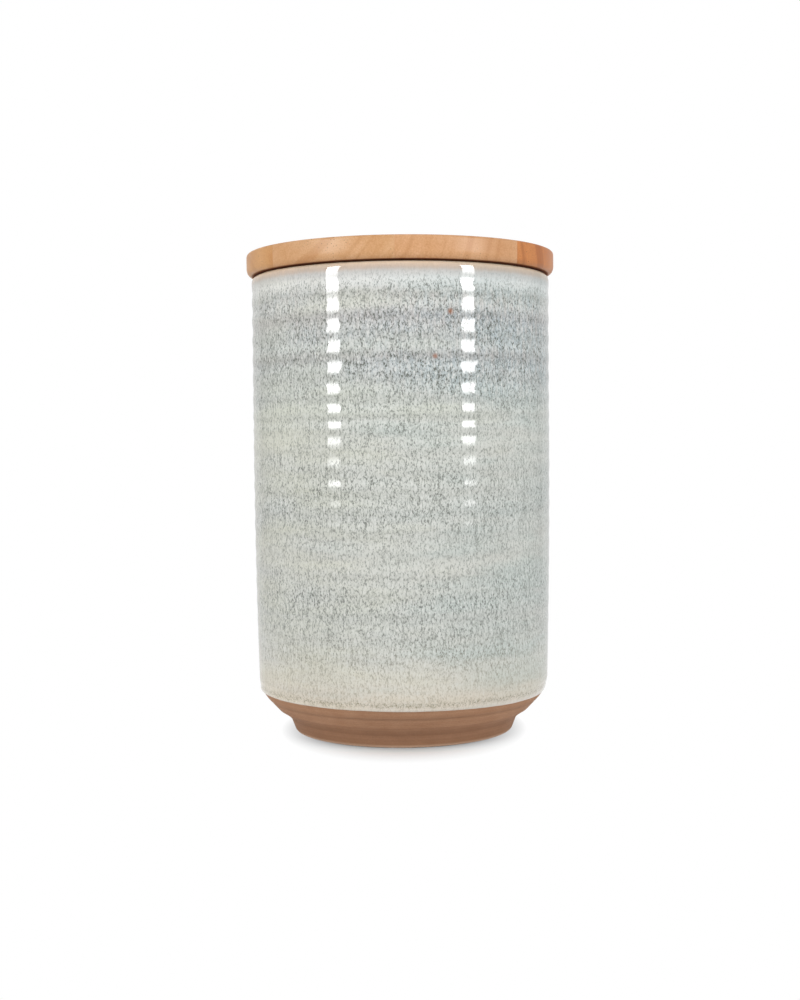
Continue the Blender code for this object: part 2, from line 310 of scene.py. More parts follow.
# %% Build the wheel
def make_wheel():
    """The node group that turns an outline into a round piece."""
    tree = bpy.data.node_groups.new("turned on the wheel", "GeometryNodeTree")
    wanted = {"Outline": "Geometry", "Sides": "Int", **dict.fromkeys(WHEEL_SIZES, "Float")}
    wanted.update({"Seed": "Float", "Material": "Material"})
    for name, kind in wanted.items():
        tree.interface.new_socket(name, in_out="INPUT", socket_type=f"NodeSocket{kind}")
    tree.interface.new_socket("Piece", in_out="OUTPUT", socket_type="NodeSocketGeometry")
    given = add(tree, "NodeGroupInput").outputs
    outline = given["Outline"]

    # Which point of the outline, and which angle, each grid point belongs to
    size = add(tree, "GeometryNodeAttributeDomainSize", outline)
    columns = add(tree, "Math.ADD", given["Sides"], 1.0)
    counts = {"Vertices X": size, "Vertices Y": columns}
    grid = add(tree, "GeometryNodeMeshGrid", named=counts)
    index = add(tree, "GeometryNodeInputIndex")
    share = add(tree, "Math.DIVIDE", index, columns)
    row = add(tree, "Math.FLOOR", share)
    column = add(tree, "Math.MODULO", index, columns)
    turn = add(tree, "Math.DIVIDE", column, given["Sides"])
    angle = add(tree, "Math.MULTIPLY", turn, math.tau)
    along = add(tree, "Math.COSINE", angle)
    across = add(tree, "Math.SINE", angle)

    # The outline's two attributes, its radius and its height at that row
    samples = []
    for name in ("rings", "run"):
        kept = add(tree, "GeometryNodeInputNamedAttribute", name, data_type="FLOAT")
        kept = add(tree, "GeometryNodeSampleIndex", outline, kept, row, data_type="FLOAT")
        samples.append(kept)
    rings, run = samples
    point = add(tree, "GeometryNodeInputPosition")
    point = add(tree, "GeometryNodeSampleIndex", outline, point, row, data_type="FLOAT_VECTOR")
    point = add(tree, "SeparateXYZ", point).outputs
    radius, height = point["X"], point["Z"]

    def spot(radius, height):
        """The point of this radius and height, in the direction of the grid point's angle."""
        east = add(tree, "Math.MULTIPLY", radius, along)
        north = add(tree, "Math.MULTIPLY", radius, across)
        return add(tree, "CombineXYZ", east, north, height)

    # Slow noise round the wall: where the hand drifted, how hard it pressed, how the glaze ran
    noises = []
    for grain, detail in HAND_NOISES:
        noise = (spot(radius, height), given["Seed"], 1 / (grain * MM), detail)
        noises.append(add(tree, "TexNoise", *noise, noise_dimensions="4D"))
    drift, pressure, ripple = noises
    shift = add(tree, "Math.SUBTRACT", drift, 0.5)
    shift = add(tree, "Math.MULTIPLY", shift, given["Ring drift"])

    # The groove: 1 at its bottom, 0 half-way to the next one, and smooth between
    below = add(tree, "Math.SUBTRACT", given["Ring top"], height)
    crowd = (below, given["Crowding start"], given["Crowding end"], 0.0, given["Crowding"])
    crowd = add(tree, "MapRange", *crowd, interpolation_type="SMOOTHSTEP")
    below = add(tree, "Math.ADD", below, crowd)
    below = add(tree, "Math.ADD", below, shift)
    phase = add(tree, "Math.DIVIDE", below, given["Ring pitch"])
    phase = add(tree, "Math.MULTIPLY", phase, math.tau)
    slope = add(tree, "Math.SINE", phase)
    slope = add(tree, "Math.MULTIPLY", slope, rings)
    kept = (grid, True, "ring slope", slope)
    grid = add(tree, "GeometryNodeStoreNamedAttribute", *kept, data_type="FLOAT")
    wave = add(tree, "Math.COSINE", phase)
    wave = add(tree, "Math.MULTIPLY_ADD", wave, 0.5, 0.5)
    groove = add(tree, "Math.MULTIPLY", wave, pressure)
    groove = add(tree, "Math.MULTIPLY", groove, rings)
    depth = add(tree, "Math.MULTIPLY", given["Ring depth"], 2.0)
    depth = add(tree, "Math.MULTIPLY", groove, depth)

    # How far the glaze's edge ran down the chamfer here: lower at one side, and uneven
    ripple = add(tree, "Math.SUBTRACT", ripple, 0.5)
    ripple = add(tree, "Math.MULTIPLY", ripple, given["Run wave"])
    tilt = add(tree, "Math.MULTIPLY", along, given["Run tilt"])
    crept = add(tree, "Math.ADD", tilt, ripple)
    crept = add(tree, "Math.MULTIPLY", crept, run)
    inwards = add(tree, "Math.MULTIPLY", crept, RUN_SLOPE)
    inwards = add(tree, "Math.ADD", inwards, depth)

    # Put each grid point in its place, and close the seam and the poles
    radius = add(tree, "Math.SUBTRACT", radius, inwards)
    height = add(tree, "Math.SUBTRACT", height, crept)
    piece = add(tree, "GeometryNodeSetPosition", grid, True, spot(radius, height))
    piece = add(tree, "GeometryNodeMergeByDistance", piece, True, MERGE_WITHIN * MM)
    piece = add(tree, "GeometryNodeSetShadeSmooth", piece)
    piece = add(tree, "GeometryNodeRealizeInstances", piece)
    piece = add(tree, "GeometryNodeSetMaterial", piece, True, given["Material"])
    add(tree, "NodeGroupOutput", piece)
    return tree


wheel = make_wheel()
print("wheel:", len(wheel.nodes), "nodes")

# %% [markdown]
# Turning a piece means giving the wheel an outline and taking the finished mesh off it. The
# modifier's inputs are set before the object is first evaluated. The result becomes a plain
# mesh, so nothing is left to work out later. Edges sharper than 40 degrees stay sharp.
#
# A closed shell must face outwards, or its shading and its volume are wrong. The signed volume
# tells: it is positive when every face looks out.

# %% Turn an outline into a piece
SHARP_ANGLE = math.radians(40)


def report(piece):
    """Prints a piece's triangles and volume, and how many of its edges are open."""
    work = bmesh.new()
    work.from_mesh(piece.data)
    open_edges = sum(1 for edge in work.edges if not edge.is_manifold)
    volume = work.calc_volume(signed=True) / MM ** 3 / 1000
    count = sum(len(face.verts) - 2 for face in work.faces)
    work.free()
    print(f"{piece.name}: {count} triangles, {volume:.2f} ml, {open_edges} open edges")


def turned(name, outline, material, rings=None, run=None):
    """A round piece with this outline, which runs down its outer side."""
    mesh = bpy.data.meshes.new(name)
    mesh.from_pydata([(radius * MM, 0.0, height * MM) for radius, height in outline], [], [])
    for label, values in (("rings", rings), ("run", run)):
        if values:
            mesh.attributes.new(label, "FLOAT", "POINT").data.foreach_set("value", values)
    piece = put(name, mesh)
    modifier = piece.modifiers.new("wheel", "NODES")
    modifier.node_group = wheel
    given = {name: size * MM for name, size in WHEEL_SIZES.items()}
    given.update({"Sides": SIDES, "Seed": SEED, "Material": material})
    for socket in wheel.interface.items_tree:
        if socket.name in given:
            modifier[socket.identifier] = given[socket.name]
    depsgraph = bpy.context.evaluated_depsgraph_get()
    made = bpy.data.meshes.new_from_object(piece.evaluated_get(depsgraph))
    piece.modifiers.clear()
    piece.data = made
    made.name = name
    made.set_sharp_from_angle(angle=SHARP_ANGLE)
    report(piece)
    return piece


# %% [markdown]
# ## Bare stoneware
#
# Below the glaze line the fired clay is bare: a warm brown stoneware, vitrified enough to be
# tight but still matt. It was trimmed on the wheel, so it has fine lines round the axis and
# a scatter of grog, the crushed fired clay that keeps a jar from cracking. To the eye that
# means no reflection to speak of, a slightly mottled brown, and very faint rings. Below the
# step the foot ring is painted a little darker than the chamfer above it, as painted shade,
# but its lowest edge, which faces the floor, is painted paler, as painted light. The line
# that is scored in the chamfer is painted dark inside, as painted shade.
#
# The turning lines follow the distance from the axis and the height, which also gives the
# underside its circles. Their real spacing is near 0.3 mm. It is drawn as 0.6 mm, because
# finer lines would vanish between the pixels of the render.

# %% Material: bare stoneware
TURNING_LINES = 0.6
GROG_GRAIN = 0.5
CLAY_MOTTLE = 7.0
FOOT_SHADE_HEIGHTS = (5.6, 8.2)
EDGE_LIGHT_HEIGHTS = (1.3, 0.2)
SCORED_RADIUS = 52.9
SCORED_LINE_SHADE = (1.3, 0.2)


def fired_stoneware():
    """Bare stoneware: matt, grogged, trimmed on the wheel."""
    material, tree, shader, place = surface_of("bare fired stoneware")
    height = add(tree, "SeparateXYZ", place).outputs["Z"]
    radius = reach(tree, place)
    turned_at = add(tree, "CombineXYZ", radius, height)
    lines = add(tree, "TexNoise", turned_at, 1 / (TURNING_LINES * MM), 2.0)
    grog = add(tree, "TexNoise", place, 1 / (GROG_GRAIN * MM), 3.0, 0.7)
    mottle = add(tree, "TexNoise", place, 1 / (CLAY_MOTTLE * MM), 4.0)
    grain = add(tree, "Math.MULTIPLY", mottle, 0.3)
    grain = add(tree, "Math.MULTIPLY_ADD", grog, 0.35, grain)
    grain = add(tree, "Math.MULTIPLY_ADD", lines, 0.35, grain)

    above = add(tree, "ValToRGB", grain, stops=[(0.36, "AF805F"), (0.64, "CA9E7E")])
    below = add(tree, "ValToRGB", grain, stops=[(0.36, "9A7154"), (0.64, "B2886A")])
    # Painted shade: below the step the clay is coloured darker than the chamfer
    trimmed = add(tree, "MapRange", height, *metres(FOOT_SHADE_HEIGHTS))
    tone = add(tree, "Mix", trimmed, below, above, data_type="RGBA")
    # Painted shade: the scored line is coloured dark
    groove_shade = add(tree, "Math.SUBTRACT", radius, SCORED_RADIUS * MM)
    groove_shade = add(tree, "Math.ABSOLUTE", groove_shade)
    groove_shade = (groove_shade, *metres(SCORED_LINE_SHADE), 0.0, 0.3)
    groove_shade = add(tree, "MapRange", *groove_shade, interpolation_type="SMOOTHSTEP")
    tone = add(tree, "Mix", groove_shade, tone, "7C583F", data_type="RGBA")
    # Painted light: the foot's lowest rounding, which faces the floor, is coloured paler
    edge_light = add(tree, "MapRange", height, *metres(EDGE_LIGHT_HEIGHTS), 0.0, 0.8)
    tone = add(tree, "Mix", edge_light, tone, "EBCBB0", data_type="RGBA")

    relief = add(tree, "Math.MULTIPLY_ADD", lines, 0.7, grog)
    bump = add(tree, "Bump", 0.25, 0.10 * MM, named={"Height": relief})
    feed(shader, {"Base Color": tone, "Roughness": 0.78, "IOR": 1.45, "Normal": bump})
    return material


# %% [markdown]
# ## The clay jar
#
# The jar is one thrown wall with a floor, and a foot trimmed when the clay was leather hard:
# a chamfer with a fine line scored in it, a step, a hollow cove and the foot ring. Spinning
# one outline makes all of that in one closed shell. Under the glaze the clay is set back, so
# that the glaze can lie in front of it and end flush on the chamfer.

# %% Outline: the jar's outside
WALL_STEP = 0.6
HIDDEN_STEP = 8.0
SHOULDER_STEPS = 48


def wall_radius(height):
    """Radius of the glazed wall between its grooves. It leans in a little low down."""
    share = (SHOULDER_HEIGHT + TAPER_HEIGHT - height) / TAPER_HEIGHT
    return BODY_RADIUS - TAPER_DEPTH * max(0.0, share) ** 2


def wall(step):
    """The wall from under the rim down to the shoulder."""
    top = (BODY_RADIUS, JAR_HEIGHT - 3 * RIM_EDGE)
    line = [top] + stepped(top, (BODY_RADIUS, SHOULDER_HEIGHT), step)[:-1]
    return [(wall_radius(height), height) for _, height in line]


start, corner = (SHOULDER_RADIUS, SHOULDER_HEIGHT), (SHOULDER_RADIUS, CHAMFER_TOP)
shoulder = bend(start, corner, blend(corner, STEP, 0.5), steps=SHOULDER_STEPS)
covered = [point for point in shoulder if point[1] > GLAZE_LINE]
bare = [point for point in shoulder if point[1] <= GLAZE_LINE]
print(f"glaze ends at radius {covered[-1][0]:.2f}, height {covered[-1][1]:.2f} mm")

# %% Outline: chamfer, step, cove and foot ring
CHAMFER_POINTS = 0.12
SCORED_WIDTH = 0.9
SCORED_DEPTH = 0.16
SCORED_TOWARDS = (-0.7, 0.7)
LIP_EDGE = 0.25
LIP_POINTS = 4
RECESS_EDGE = 0.6


def scored(line):
    """The chamfer with a fine line scored in it."""
    marked = []
    for radius, height in line:
        off = abs(radius - SCORED_RADIUS) / SCORED_WIDTH
        depth = SCORED_DEPTH * max(0.0, 1 - off * off)
        marked.append((radius + SCORED_TOWARDS[0] * depth, height + SCORED_TOWARDS[1] * depth))
    return marked


def foot():
    """From the chamfer over the step and the cove, and round the foot ring to its middle."""
    def side(height):
        return FOOT_RADIUS + FOOT_SLOPE * height, height
    chamfer = scored(stepped(bare[-1], STEP, CHAMFER_POINTS))
    lip = rounded(chamfer[-LIP_POINTS], STEP, side(COVE_ROOT_HEIGHT), LIP_EDGE)
    cove = bend(lip[-1], side(COVE_ROOT_HEIGHT), side(COVE_FOOT_HEIGHT), steps=16)[1:]
    inner = (FOOT_INNER_RADIUS, 0.0)
    recess = (FOOT_INNER_RADIUS, FOOT_RECESS)
    outer_edge = rounded(side(COVE_FOOT_HEIGHT), side(0.0), inner, FOOT_EDGE)
    inner_edge = rounded(side(0.0), inner, recess, FOOT_EDGE)
    middle = (0.0, FOOT_RECESS)
    ceiling = rounded(inner, recess, middle, RECESS_EDGE)
    ceiling += stepped(recess, middle, HIDDEN_STEP)[1:]
    return chamfer[:-LIP_POINTS] + lip + cove + outer_edge + inner_edge + ceiling


def inside(depth):
    """The inside, from the rim down the wall to the middle of the floor."""
    bore = CLAY_BORE - depth
    rim = RIM_CLAY + depth
    floor = CLAY_FLOOR + depth
    foot_of_wall = (bore - TAPER_DEPTH, floor + INNER_CORNER)
    corner = (bore - TAPER_DEPTH, floor)
    start_of_floor = (bore - TAPER_DEPTH - INNER_CORNER, floor)
    line = rounded((RIM_MIDDLE, rim), (bore, rim), (bore, rim - 2 * RIM_EDGE), RIM_EDGE)
    line += stepped(line[-1], foot_of_wall, HIDDEN_STEP)[:-1]
    line += bend(foot_of_wall, corner, start_of_floor, steps=24)
    return line + stepped(start_of_floor, (0.0, floor), HIDDEN_STEP)


# %% Make the clay jar
CLAY_AT_LINE = 0.05

rim_clay = (RIM_MIDDLE, RIM_CLAY)
edge = rounded(rim_clay, (CLAY_RADIUS, RIM_CLAY), (CLAY_RADIUS, RIM_CLAY - 2), RIM_EDGE)
outside = edge + set_in(wall(HIDDEN_STEP), CLAY_BACK, CLAY_BACK)
outside += set_in(covered, CLAY_BACK, CLAY_AT_LINE) + bare
clay_jar = turned("clay_jar", inside(0.0)[::-1] + outside + foot(), fired_stoneware())

# %% [markdown]
# ## Speckled glaze
#
# The outside carries a thick reactive glaze: pale grey-green and glossy, with fine dark and
# light flecks where crystals floated up and were drawn out downwards as the glaze ran. Where
# it is thin, over the rim, it breaks to a warm tan, and the rim's roll at its very top is
# painted paler, as a painted highlight. Low down, where it pooled, it turns creamy, and its
# rolled edge is painted paler still, partly cream and partly a painted highlight. The flecks
# fade to ochre there, and just above the edge they gather in a dotted line. Here and there it
# carries a pink or bluish haze, and a few rusty iron spots. The throwing rings show in it too:
# faint lines run round, and the side of each ring that looks up is painted lighter, partly
# how the glaze lies and partly painted light from above.
#
# All of that can be read from where a point lies: its height decides the zone, and 3-D noise
# stretched along the axis makes the flecks. Between them lie tall cells of clearer glaze,
# which push the flecks together like a net. Object coordinates need no seam, and the pattern
# keeps its real size in millimetres. The flecks are really 0.2 to 0.3 mm wide and are drawn
# a little wider, so that the render can show them. The gloss is high and even, with the soft
# unevenness of a surface that flowed, which makes the edges of reflections wander.

# %% Values of the speckled glaze: grains are (width, height) in millimetres
FLECKS = (0.41, 0.80)
STREAKS = (1.0, 8.0)
CELLS = (1.35, 3.2)
LINES = (30.0, 1.7)
HAZE = (1.6, 4.0)
CLOUDS = (55.0, 11.0)
RUNS = (2.5, 25.0)
RUN_SHIFT = 1.6
DOTS = 0.65
DOTTED_LINE = (16.9, 19.3)
WARM_INK = (44.0, 22.0)
BETWEEN_CELLS = (0.02, 0.26, -0.1, 0.08)
DARK_FLECKS = (0.62, 0.42)
LIGHT_FLECKS = (0.66, 0.93, 0.0, 0.8)
HAZE_STRENGTH = [(122.0, 0.0), (140.0, 1.0), (164.0, 1.0), (169.0, 0.0)]
GLAZE_ZONES_AND_HIGHLIGHTS = [
    # The first stop, on the rolled edge, is the pooled glaze's cream and a painted highlight
    (15.7, "F0E9DE"),
    (17.2, "E8DFD1"),
    (20.0, "E5DED0"),
    (26.0, "E4E2D8"),
    (36.0, "DADCD6"),
    (50.0, "D4D8D4"),
    (70.0, "DCDED8"),
    (88.0, "D4D8D4"),
    (112.0, "DBDED8"),
    (125.0, "D6DBD6"),
    (139.5, "CAD0D2"),
    (143.2, "C4C6C7"),
    (147.0, "D1D7D8"),
    (152.0, "CBD0D1"),
    (157.5, "C8C8CA"),
    (161.5, "D8DBDA"),
    (166.0, "D5D8D5"),
    (171.0, "EEF0EF"),
    (173.4, "D5D4D2"),
    (174.6, "D2BFB0"),
    # The two top stops are a painted highlight on the rim's roll, under the lid's shade
    (175.8, "E5CEB8"),
    (176.9, "F8E8D0"),
]
FLECK_STRENGTH = [
    (15.7, 0.14),
    (18.0, 0.45),
    (24.0, 0.45),
    (34.0, 0.7),
    (55.0, 0.88),
    (72.0, 0.6),
    (90.0, 0.93),
    (115.0, 0.71),
    (130.0, 0.92),
    (137.0, 1.07),
    (162.0, 0.99),
    (168.5, 0.75),
    (171.5, 0.42),
    (173.8, 0.12),
    (176.9, 0.05),
]

# Angle from the front in degrees, height and size in millimetres
IRON_SPOTS = [
    (17.8, 159.0, 1.5),
    (12.1, 143.1, 1.35),
    (-96.0, 121.0, 1.1),
    (141.0, 152.0, 1.4),
    (-162.0, 88.0, 1.2),
    (104.0, 131.0, 1.0),
]


# %% Material: speckled glaze
def by_height(pairs):
    """Stops for a ramp over the glazed height, from pairs of a height and a colour."""
    whole = JAR_HEIGHT - GLAZE_LINE
    return [((height - GLAZE_LINE) / whole, colour) for height, colour in pairs]


def speckled_glaze():
    """Reactive stoneware glaze: zones by height, flecks drawn out downwards, clouds, iron."""
    material, tree, shader, place = surface_of("speckled stoneware glaze")
    axes = add(tree, "SeparateXYZ", place).outputs
    height = axes["Z"]

    # Zones: read from the height, which narrow runs shift up and down, but less at the rim
    flow = drawn_out(tree, place, RUNS, 3.0)
    shift = add(tree, "MapRange", flow, 0.0, 1.0, -RUN_SHIFT * MM, RUN_SHIFT * MM)
    calm = add(tree, "MapRange", height, (JAR_HEIGHT - 5) * MM, (JAR_HEIGHT - 10) * MM, 0.3)
    shift = add(tree, "Math.MULTIPLY", shift, calm)
    zone = add(tree, "Math.ADD", height, shift)
    zone = add(tree, "MapRange", zone, GLAZE_LINE * MM, JAR_HEIGHT * MM)
    tone = add(tree, "ValToRGB", zone, stops=by_height(GLAZE_ZONES_AND_HIGHLIGHTS))

    # Clouds: straw on the side that faced the flame, blue-green on the other
    cloud = drawn_out(tree, place, CLOUDS, 3.0)
    side = add(tree, "Math.MULTIPLY_ADD", axes["X"], 0.4 / (BODY_RADIUS * MM), -0.5)
    side = add(tree, "Math.MULTIPLY_ADD", cloud, 2.0, side)
    tint = add(tree, "ValToRGB", side, stops=[(0.0, "FFFDF3"), (0.5, "FCFBF9"), (1.0, "ECF3F3")])
    tone = add(tree, "Mix", 1.0, tone, tint, data_type="RGBA", blend_type="MULTIPLY")

    # Haze: small pink and blue patches, in the upper third only
    haze = drawn_out(tree, place, HAZE, 2.0)
    tints = [(0.34, "FBF3F0"), (0.5, "FFFFFF"), (0.66, "F0F6FB")]
    haze = add(tree, "ValToRGB", haze, stops=tints)
    upper = add(tree, "ValToRGB", zone, stops=by_height(HAZE_STRENGTH))
    upper = add(tree, "Math.MULTIPLY", upper, side, use_clamp=True)
    tone = add(tree, "Mix", upper, tone, haze, data_type="RGBA", blend_type="MULTIPLY")

    # Rings: the side of a ring that looks up is painted lighter, partly how the glaze lies and
    # partly painted light from above; faint lines run round
    slope = add(tree, "Attribute", attribute_name="ring slope").outputs["Fac"]
    slope_light_and_lines = add(tree, "Math.MULTIPLY_ADD", slope, 0.06, 0.98)
    lines = drawn_out(tree, place, LINES, 2.0)
    slope_light_and_lines = add(tree, "Math.MULTIPLY_ADD", lines, 0.14, slope_light_and_lines)
    tone = add(tree, "VectorMath.SCALE", tone, slope_light_and_lines)

    # Flecks: a fine noise drawn out downwards, and a longer one that gathers them in streaks
    fleck = drawn_out(tree, place, FLECKS, 1.0, named={"Distortion": 0.8})
    streak = drawn_out(tree, place, STREAKS, 1.0)
    fleck = add(tree, "Math.MULTIPLY_ADD", streak, 0.3, fleck)

    # Crystals: the flecks gather between tall cells of clearer glaze
    cell = drawn_out(tree, place, CELLS, kind="TexVoronoi", feature="DISTANCE_TO_EDGE")
    between = add(tree, "MapRange", cell, *BETWEEN_CELLS)
    fleck = add(tree, "Math.ADD", fleck, between)
    dark = add(tree, "MapRange", fleck, *DARK_FLECKS)
    light = add(tree, "MapRange", fleck, *LIGHT_FLECKS)

    # How strong they are: by height, and more in some clouds than in others
    strength = add(tree, "ValToRGB", zone, stops=by_height(FLECK_STRENGTH))
    clouded = add(tree, "MapRange", cloud, 0.3, 0.7, 0.75, 1.1)
    strength = add(tree, "Math.MULTIPLY", strength, clouded)
    dark = add(tree, "Math.MULTIPLY", dark, strength)
    light = add(tree, "Math.MULTIPLY", light, strength)
    warm = add(tree, "MapRange", height, *metres(WARM_INK))
    ink = add(tree, "ValToRGB", warm, stops=[(0.0, "646960"), (1.0, "8E8260")])
    tone = add(tree, "Mix", dark, tone, ink, data_type="RGBA")
    tone = add(tree, "Mix", light, tone, "F6F7F3", data_type="RGBA")

    # A dotted line just above the edge, where the run came to rest
    near = add(tree, "Math.MULTIPLY_ADD", shift, 0.8, height)
    near = add(tree, "MapRange", near, *metres(DOTTED_LINE))
    near = add(tree, "Math.MULTIPLY", near, math.pi)
    near = add(tree, "Math.SINE", near)
    dots = add(tree, "TexNoise", place, 1 / (DOTS * MM), 2.0, 0.7)
    dots = add(tree, "MapRange", dots, 0.46, 0.64, 0.0, 0.75)
    near = add(tree, "Math.MULTIPLY", near, dots)
    tone = add(tree, "Mix", near, tone, "857B52", data_type="RGBA")

    # Iron spots: where a grain of iron melted through
    for angle, level, size in IRON_SPOTS:
        turn = math.radians(angle)
        spot = Vector((math.sin(turn), -math.cos(turn), 0.0)) * BODY_RADIUS
        spot.z = level
        near = add(tree, "VectorMath.DISTANCE", place, spot * MM)
        near = add(tree, "MapRange", near, size * MM, 0.2 * size * MM, 0.0, 0.8)
        tone = add(tree, "Mix", near, tone, "A5653B", data_type="RGBA")

    gloss = add(tree, "MapRange", cloud, 0.3, 0.7, 0.03, 0.05)
    bump = add(tree, "Bump", 0.2, 0.03 * MM, named={"Height": flow})
    feed(shader, {"Base Color": tone, "Roughness": gloss, "IOR": 1.6, "Normal": bump})
    return material


# %% [markdown]
# ## The outer coat
#
# The coat is a shell of its own: over half of the rim, down the ringed wall and round the
# shoulder to the middle of the chamfer, where surface tension drew it into a thick rolled
# edge. Its back follows the clay. The wall is cut into steps of 0.6 mm, a twelfth of a ring.

# %% Outline: the outer coat
RING_STRENGTH = [
    (JAR_HEIGHT - 3, 0.0),
    (JAR_HEIGHT - 6, 1.0),
    (119.0, 1.0),
    (113.0, 0.5),
    (103.0, 0.45),
    (98.0, 0.9),
    (89.0, 0.8),
    (80.0, 0.6),
    (45.0, 0.55),
    (28.0, 0.0),
]
RUN_HEIGHT = 4.0
RIM_ROLL = (1.7, 2.4)
RIM_STEPS = 12
ROLL_THICKNESS = 0.42
ROLL_WIDTH = 1.9
ROLL_TOWARDS = (0.8, -0.6)
COAT_AT_LINE = 0.03


def rolled(line):
    """The lower end of the coat, swollen into a rolled edge that closes at the last point."""
    last = line[-1]
    swollen = []
    for radius, height in line:
        away = math.dist((radius, height), last) / ROLL_WIDTH
        swell = ROLL_THICKNESS * math.sqrt(away) * math.exp(1 - away ** 2 * 1.2) * 0.62
        swollen.append((radius + ROLL_TOWARDS[0] * swell, height + ROLL_TOWARDS[1] * swell))
    return swollen


def ring_strength(height):
    """How strong the rings are at a height, read between the pairs above."""
    for (upper, strong), (lower, weak) in zip(RING_STRENGTH, RING_STRENGTH[1:]):
        if upper >= height >= lower:
            return strong + (weak - strong) * (upper - height) / (upper - lower)
    return 0.0


rim_start = (RIM_MIDDLE + RIM_GAP, JAR_HEIGHT)
rim_inner, rim_corner = (BODY_RADIUS - RIM_ROLL[0], JAR_HEIGHT), (BODY_RADIUS, JAR_HEIGHT)
rim_edge = bend(rim_inner, rim_corner, (BODY_RADIUS, JAR_HEIGHT - RIM_ROLL[1]), steps=RIM_STEPS)
front = [rim_start] + rim_edge + wall(WALL_STEP) + rolled(covered)
back = [(RIM_MIDDLE + RIM_GAP, JAR_HEIGHT - RIM_GLAZE)]
back_corner = (BODY_RADIUS - COAT_BACK, JAR_HEIGHT - RIM_GLAZE)
back += rounded(back[0], back_corner, (back_corner[0], JAR_HEIGHT - 3), RIM_EDGE)
back += set_in(wall(HIDDEN_STEP), COAT_BACK, COAT_BACK)
back += set_in(covered, COAT_BACK, COAT_AT_LINE)
coat_outline = front + back[::-1] + [rim_start]

# %% Make the outer coat
rings = [ring_strength(height) for _, height in front] + [0.0] * (len(back) + 1)
runs = [max(0.0, 1 - (height - GLAZE_LINE) / RUN_HEIGHT) ** 2 for _, height in coat_outline]
outer_coat = turned("outer_coat", coat_outline, speckled_glaze(), rings, runs)

# %% [markdown]
# ## The liner
#
# Inside, the jar has a food-safe glaze: a smooth cream with the clay's warmth in it, and a few
# specks. It is only seen with the lid off. It meets the outer coat in the middle of the rim.

# %% Material: cream liner glaze
LINER_MOTTLE = 12.0
SPECK_SPACING = 3.5


def liner_glaze():
    """Cream liner glaze: glossy and even, with sparse brown specks."""
    material, tree, shader, place = surface_of("cream liner glaze")
    mottle = add(tree, "TexNoise", place, 1 / (LINER_MOTTLE * MM), 3.0)
    cream = add(tree, "ValToRGB", mottle, stops=[(0.35, "DDD3BE"), (0.65, "E6DECC")])
    specks = add(tree, "TexVoronoi", place, 1 / (SPECK_SPACING * MM))
    specks = add(tree, "MapRange", specks, 0.10, 0.05)
    tone = add(tree, "Mix", specks, cream, "8A6E50", data_type="RGBA")
    feed(shader, {"Base Color": tone, "Roughness": 0.14, "IOR": 1.5})
    return material


# %% Make the liner coat
rim_start = (RIM_MIDDLE - RIM_GAP, JAR_HEIGHT)
liner_back = [(RIM_MIDDLE - RIM_GAP, JAR_HEIGHT - RIM_GLAZE)] + inside(LINER_BACK)
liner_outline = ([rim_start] + inside(LINER_THICKNESS))[::-1] + liner_back
liner_coat = turned("liner_coat", liner_outline, liner_glaze())

# %% [markdown]
# ## Oiled rubberwood
#
# The lid is a light hardwood such as rubberwood, glued up from boards, turned and finished with
# a satin oil. The eye sees warm tan end grain at the front, with growth rings as faint arcs,
# fine dark pores, and a soft sheen. On the top and the sides the same pores lie along the
# grain as short dark lines. The edge was burnished on the lathe, so the flat top is duller.
# The lowest arris, where the lid lies on the jar, is painted dark: painted shade in the gap.
#
# Wood is solid, so its pattern is best built in three dimensions: rings round a pith that runs
# along Y, and fibres and pores drawn out along Y. Cut in any direction, it then shows the right
# face by itself. Each board has its own pith and tone, because each came from another log, and
# one of them turns a little darker at its right side, where the heartwood begins.
# Real pores are 0.2 mm wide, and are drawn as 0.3 mm, so that they show.

# %% Material: oiled rubberwood, with grains of (width, length along Y) in millimetres
RING_SPACING = 3.2
RING_SWAY = (60.0, 14.0)
FIBRES = (0.45, 14.0)
PORES = (1.1, 4.0)
CLOUD_GRAIN = 18.0
# Painted shade along the lowest arris: its height, its reach, and the radius where it starts
ARRIS_SHADE_LEVEL = LID_SEAT + 0.1
ARRIS_SHADE_HEIGHT = (0.45, 0.15)
ARRIS_SHADE_RADIUS = (55.0, 56.0)
TOP_DULLNESS = 0.26
LENGTHWAYS = 1
ROUND_PITH = (1.0, 0.0, 1.0)


